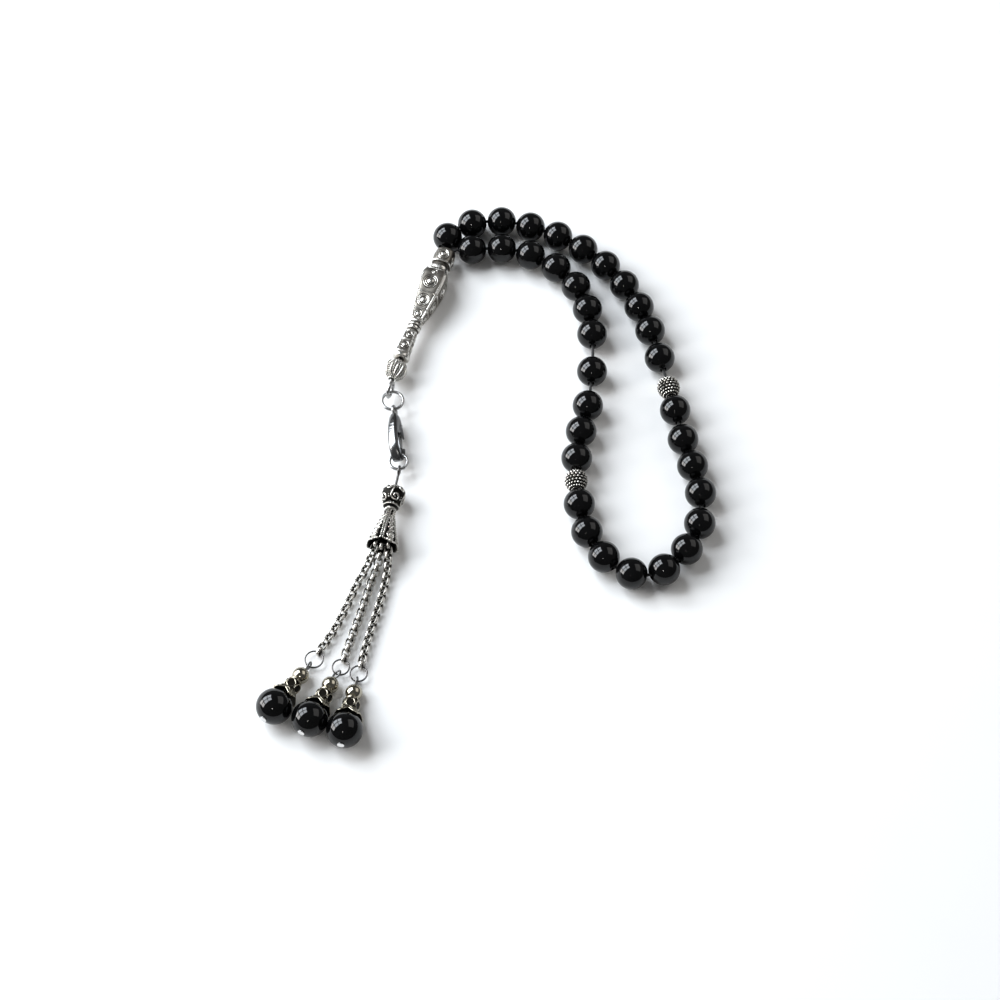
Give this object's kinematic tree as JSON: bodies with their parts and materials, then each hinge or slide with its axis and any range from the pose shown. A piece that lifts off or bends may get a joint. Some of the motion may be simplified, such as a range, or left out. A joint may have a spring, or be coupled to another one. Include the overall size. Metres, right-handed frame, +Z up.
{
  "type": "misbaha prayer beads",
  "caption": "String of round black beads on a cord, with small dividers, a silver leader bead, a lobster clasp and a chain tassel, lying flat.",
  "frame": {"origin": "under the middle of the whole object as it lies, on the surface that it rests on", "axes": "+Z up from that surface; +Y from the tassel's drops towards the far end of the bead strand; +X from the tassel towards the bead strand"},
  "size_m": [0.1132, 0.1613, 0.0088],
  "materials": {
    "onyx": "polished black stone, very glossy",
    "cord": "black twisted cord",
    "silver": "antiqued silver with dark recesses",
    "gunmetal": "dark oxidised silver with bright raised edges",
    "pewter": "smooth warm pewter"
  },
  "bodies": {
    "strand": {"cord": "cord", "leader_bead": "silver", "leader_pin": "silver"},
    "bead_01": {"bead_01": "onyx"},
    "bead_02": {"bead_02": "onyx"},
    "bead_03": {"bead_03": "onyx"},
    "bead_04": {"bead_04": "onyx"},
    "bead_05": {"bead_05": "onyx"},
    "bead_06": {"bead_06": "onyx"},
    "bead_07": {"bead_07": "onyx"},
    "bead_08": {"bead_08": "onyx"},
    "bead_09": {"bead_09": "onyx"},
    "bead_10": {"bead_10": "onyx"},
    "bead_11": {"bead_11": "onyx"},
    "bead_12": {"bead_12": "onyx"},
    "bead_13": {"bead_13": "onyx"},
    "bead_14": {"bead_14": "onyx"},
    "bead_15": {"bead_15": "onyx"},
    "bead_16": {"bead_16": "onyx"},
    "bead_17": {"bead_17": "onyx"},
    "bead_18": {"bead_18": "onyx"},
    "bead_19": {"bead_19": "onyx"},
    "bead_20": {"bead_20": "onyx"},
    "bead_21": {"bead_21": "onyx"},
    "bead_22": {"bead_22": "onyx"},
    "bead_23": {"bead_23": "onyx"},
    "bead_24": {"bead_24": "onyx"},
    "bead_25": {"bead_25": "onyx"},
    "bead_26": {"bead_26": "onyx"},
    "bead_27": {"bead_27": "onyx"},
    "bead_28": {"bead_28": "onyx"},
    "bead_29": {"bead_29": "onyx"},
    "bead_30": {"bead_30": "onyx"},
    "bead_31": {"bead_31": "onyx"},
    "bead_32": {"bead_32": "onyx"},
    "bead_33": {"bead_33": "onyx"},
    "divider_1": {"divider_1": "gunmetal"},
    "divider_2": {"divider_2": "gunmetal"},
    "leader_ball": {"leader_ball": "silver"},
    "jump_ring": {"jump_ring": "silver"},
    "clasp": {"clasp_body": "silver", "clasp_rivet": "silver", "clasp_spring": "silver"},
    "clasp_lever": {"clasp_lever": "silver"},
    "tassel_ring": {"tassel_ring": "gunmetal"},
    "tassel_pin": {"tassel_pin": "gunmetal"},
    "scroll_ball": {"scroll_ball": "gunmetal"},
    "cone_cap": {"cone_cap": "gunmetal"},
    "chain_left": {"chain_left": "gunmetal"},
    "drop_ring_left": {"drop_ring_left": "gunmetal"},
    "drop_finial_left": {"drop_finial_left": "pewter"},
    "drop_ball_left": {"drop_ball_left": "onyx"},
    "chain_middle": {"chain_middle": "gunmetal"},
    "drop_ring_middle": {"drop_ring_middle": "gunmetal"},
    "drop_finial_middle": {"drop_finial_middle": "pewter"},
    "drop_ball_middle": {"drop_ball_middle": "onyx"},
    "chain_right": {"chain_right": "gunmetal"},
    "drop_ring_right": {"drop_ring_right": "gunmetal"},
    "drop_finial_right": {"drop_finial_right": "pewter"},
    "drop_ball_right": {"drop_ball_right": "onyx"}
  },
  "joints": [
    {"name": "bead_01_spin", "type": "hinge", "parent": "strand", "child": "bead_01", "pos_m": [-0.01309, 0.07074, 0.004], "axis": [0.4038, 0.9149, 0], "continuous": true},
    {"name": "bead_02_spin", "type": "hinge", "parent": "strand", "child": "bead_02", "pos_m": [-0.00631, 0.07539, 0.004], "axis": [0.9678, 0.2516, 0], "continuous": true},
    {"name": "bead_03_spin", "type": "hinge", "parent": "strand", "child": "bead_03", "pos_m": [0.00187, 0.07625, 0.004], "axis": [0.9968, -0.0799, 0], "continuous": true},
    {"name": "bead_04_spin", "type": "hinge", "parent": "strand", "child": "bead_04", "pos_m": [0.00987, 0.07435, 0.004], "axis": [0.9475, -0.3197, 0], "continuous": true},
    {"name": "bead_05_spin", "type": "hinge", "parent": "strand", "child": "bead_05", "pos_m": [0.01744, 0.07113, 0.004], "axis": [0.8806, -0.4738, 0], "continuous": true},
    {"name": "bead_06_spin", "type": "hinge", "parent": "strand", "child": "bead_06", "pos_m": [0.02428, 0.06657, 0.004], "axis": [0.7854, -0.619, 0], "continuous": true},
    {"name": "bead_07_spin", "type": "hinge", "parent": "strand", "child": "bead_07", "pos_m": [0.03032, 0.061, 0.004], "axis": [0.6703, -0.7421, 0], "continuous": true},
    {"name": "bead_08_spin", "type": "hinge", "parent": "strand", "child": "bead_08", "pos_m": [0.03523, 0.0544, 0.004], "axis": [0.5259, -0.8506, 0], "continuous": true},
    {"name": "bead_09_spin", "type": "hinge", "parent": "strand", "child": "bead_09", "pos_m": [0.03897, 0.04708, 0.004], "axis": [0.3834, -0.9236, 0], "continuous": true},
    {"name": "bead_10_spin", "type": "hinge", "parent": "strand", "child": "bead_10", "pos_m": [0.04163, 0.0393, 0.004], "axis": [0.2717, -0.9624, 0], "continuous": true},
    {"name": "bead_11_slide", "type": "slide", "parent": "strand", "child": "bead_11", "axis": [0.2165, -0.9763, 0], "range_m": [-0.0008, 0.0028]},
    {"name": "bead_12_spin", "type": "hinge", "parent": "strand", "child": "bead_12", "pos_m": [0.04715, 0.01391, 0.004], "axis": [0.1842, -0.9829, 0], "continuous": true},
    {"name": "bead_13_spin", "type": "hinge", "parent": "strand", "child": "bead_13", "pos_m": [0.04877, 0.00493, 0.004], "axis": [0.2115, -0.9774, 0], "continuous": true},
    {"name": "bead_14_spin", "type": "hinge", "parent": "strand", "child": "bead_14", "pos_m": [0.05083, -0.00304, 0.004], "axis": [0.2514, -0.9679, 0], "continuous": true},
    {"name": "bead_15_spin", "type": "hinge", "parent": "strand", "child": "bead_15", "pos_m": [0.05244, -0.01111, 0.004], "axis": [0.0849, -0.9964, 0], "continuous": true},
    {"name": "bead_16_spin", "type": "hinge", "parent": "strand", "child": "bead_16", "pos_m": [0.05176, -0.02001, 0.004], "axis": [-0.2674, -0.9636, 0], "continuous": true},
    {"name": "bead_17_spin", "type": "hinge", "parent": "strand", "child": "bead_17", "pos_m": [0.04813, -0.02739, 0.004], "axis": [-0.5818, -0.8134, 0], "continuous": true},
    {"name": "bead_18_spin", "type": "hinge", "parent": "strand", "child": "bead_18", "pos_m": [0.04222, -0.03312, 0.004], "axis": [-0.8612, -0.5083, 0], "continuous": true},
    {"name": "bead_19_spin", "type": "hinge", "parent": "strand", "child": "bead_19", "pos_m": [0.03407, -0.03427, 0.004], "axis": [-0.9655, 0.2605, 0], "continuous": true},
    {"name": "bead_20_spin", "type": "hinge", "parent": "strand", "child": "bead_20", "pos_m": [0.02732, -0.02957, 0.004], "axis": [-0.6288, 0.7776, 0], "continuous": true},
    {"name": "bead_21_spin", "type": "hinge", "parent": "strand", "child": "bead_21", "pos_m": [0.02325, -0.02242, 0.004], "axis": [-0.3426, 0.9395, 0], "continuous": true},
    {"name": "bead_22_spin", "type": "hinge", "parent": "strand", "child": "bead_22", "pos_m": [0.02151, -0.01437, 0.004], "axis": [-0.1353, 0.9908, 0], "continuous": true},
    {"name": "bead_23_spin", "type": "hinge", "parent": "strand", "child": "bead_23", "pos_m": [0.02114, -0.00077, 0.004], "axis": [0.1016, 0.9948, 0], "continuous": true},
    {"name": "bead_24_spin", "type": "hinge", "parent": "strand", "child": "bead_24", "pos_m": [0.02245, 0.00735, 0.004], "axis": [0.227, 0.9739, 0], "continuous": true},
    {"name": "bead_25_slide", "type": "slide", "parent": "strand", "child": "bead_25", "axis": [0.184, 0.9829, 0], "range_m": [0, 0.0025]},
    {"name": "bead_26_slide", "type": "slide", "parent": "strand", "child": "bead_26", "axis": [0.079, 0.9969, 0], "range_m": [-0.0025, 0.0037]},
    {"name": "bead_27_slide", "type": "slide", "parent": "strand", "child": "bead_27", "axis": [-0.0429, 0.9991, 0], "range_m": [-0.0037, 0]},
    {"name": "bead_28_spin", "type": "hinge", "parent": "strand", "child": "bead_28", "pos_m": [0.02502, 0.04627, 0.004], "axis": [-0.2336, 0.9723, 0], "continuous": true},
    {"name": "bead_29_spin", "type": "hinge", "parent": "strand", "child": "bead_29", "pos_m": [0.02205, 0.05393, 0.004], "axis": [-0.5015, 0.8652, 0], "continuous": true},
    {"name": "bead_30_spin", "type": "hinge", "parent": "strand", "child": "bead_30", "pos_m": [0.01676, 0.06023, 0.004], "axis": [-0.7572, 0.6532, 0], "continuous": true},
    {"name": "bead_31_spin", "type": "hinge", "parent": "strand", "child": "bead_31", "pos_m": [0.0098, 0.06461, 0.004], "axis": [-0.9125, 0.4092, 0], "continuous": true},
    {"name": "bead_32_spin", "type": "hinge", "parent": "strand", "child": "bead_32", "pos_m": [0.00188, 0.06682, 0.004], "axis": [-0.9965, 0.084, 0], "continuous": true},
    {"name": "bead_33_spin", "type": "hinge", "parent": "strand", "child": "bead_33", "pos_m": [-0.00633, 0.06648, 0.004], "axis": [-0.999, -0.0442, 0], "continuous": true},
    {"name": "divider_1_slide", "type": "slide", "parent": "strand", "child": "divider_1", "axis": [0.1967, -0.9805, 0], "range_m": [-0.0028, 0.0002]},
    {"name": "divider_2_spin", "type": "hinge", "parent": "strand", "child": "divider_2", "pos_m": [0.02084, -0.00758, 0.004], "axis": [-0.0355, 0.9994, 0], "continuous": true},
    {"name": "leader_ball_spin", "type": "hinge", "parent": "strand", "child": "leader_ball", "pos_m": [-0.0263, 0.02654, 0.0039], "axis": [0.318, 0.9481, 0], "continuous": true},
    {"name": "jump_ring_swing", "type": "hinge", "parent": "strand", "child": "jump_ring", "pos_m": [-0.02736, 0.01979, 0.0036], "axis": [0, 0, 1], "range_deg": [-10, 5]},
    {"name": "clasp_swing", "type": "hinge", "parent": "jump_ring", "child": "clasp", "pos_m": [-0.0262, 0.014, 0.00355], "axis": [0, 0, 1], "range_deg": [-8, 5]},
    {"name": "clasp_lever_turn", "type": "hinge", "parent": "clasp", "child": "clasp_lever", "pos_m": [-0.02548, 0.00945, 0.0027], "axis": [-0.936, -0.0836, -0.342], "range_deg": [0, 20], "stiffness_Nm_per_rad": 0.002},
    {"name": "tassel_ring_swing", "type": "hinge", "parent": "clasp", "child": "tassel_ring", "pos_m": [-0.02496, 0.00079, 0.0035], "axis": [0, 0, 1], "range_deg": [-5, 5]},
    {"name": "tassel_swing", "type": "hinge", "parent": "tassel_ring", "child": "tassel_pin", "pos_m": [-0.0245, -0.00407, 0.0033], "axis": [0, 0, 1], "range_deg": [-7, 5]},
    {"name": "scroll_ball_spin", "type": "hinge", "parent": "tassel_pin", "child": "scroll_ball", "pos_m": [-0.02576, -0.01186, 0.00362], "axis": [0.1589, 0.9865, -0.04], "continuous": true},
    {"name": "cone_cap_spin", "type": "hinge", "parent": "tassel_pin", "child": "cone_cap", "pos_m": [-0.0245, -0.00407, 0.0033], "axis": [0.1589, 0.9865, -0.04], "continuous": true},
    {"name": "chain_left_swing", "type": "hinge", "parent": "tassel_pin", "child": "chain_left", "pos_m": [-0.02947, -0.02543, 0.0041], "axis": [0, 0, 1], "range_deg": [-15, 0]},
    {"name": "drop_ring_left_swing", "type": "hinge", "parent": "chain_left", "child": "drop_ring_left", "pos_m": [-0.04278, -0.05439, 0.00115], "axis": [0, 0, 1], "range_deg": [-20, 0]},
    {"name": "drop_left_swing", "type": "hinge", "parent": "drop_ring_left", "child": "drop_finial_left", "pos_m": [-0.04502, -0.05822, 0.00136], "axis": [0, 0, 1], "range_deg": [-20, 0]},
    {"name": "drop_ball_left_spin", "type": "hinge", "parent": "drop_finial_left", "child": "drop_ball_left", "pos_m": [-0.0524, -0.0702, 0.0044], "axis": [0.5126, 0.8323, -0.211], "continuous": true},
    {"name": "chain_middle_lift", "type": "hinge", "parent": "tassel_pin", "child": "chain_middle", "pos_m": [-0.02807, -0.02622, 0.0041], "axis": [-0.9873, 0.159, 0], "range_deg": [0, 35]},
    {"name": "drop_ring_middle_lift", "type": "hinge", "parent": "chain_middle", "child": "drop_ring_middle", "pos_m": [-0.03666, -0.05629, 0.00115], "axis": [-0.9603, 0.2788, 0], "range_deg": [0, 30]},
    {"name": "drop_middle_lift", "type": "hinge", "parent": "drop_ring_middle", "child": "drop_finial_middle", "pos_m": [-0.03817, -0.0605, 0.00136], "axis": [-0.9166, 0.3999, 0], "range_deg": [0, 30]},
    {"name": "drop_ball_middle_spin", "type": "hinge", "parent": "drop_finial_middle", "child": "drop_ball_middle", "pos_m": [-0.0438, -0.0734, 0.0044], "axis": [0.3908, 0.8959, -0.211], "continuous": true},
    {"name": "chain_right_swing", "type": "hinge", "parent": "tassel_pin", "child": "chain_right", "pos_m": [-0.02649, -0.02592, 0.0041], "axis": [0, 0, 1], "range_deg": [0, 15]},
    {"name": "drop_ring_right_swing", "type": "hinge", "parent": "chain_right", "child": "drop_ring_right", "pos_m": [-0.03243, -0.05795, 0.00115], "axis": [0, 0, 1], "range_deg": [0, 20]},
    {"name": "drop_right_swing", "type": "hinge", "parent": "drop_ring_right", "child": "drop_finial_right", "pos_m": [-0.03323, -0.06229, 0.00136], "axis": [0, 0, 1], "range_deg": [0, 20]},
    {"name": "drop_ball_right_spin", "type": "hinge", "parent": "drop_finial_right", "child": "drop_ball_right", "pos_m": [-0.0354, -0.0762, 0.0044], "axis": [0.1509, 0.9658, -0.211], "continuous": true}
  ]
}
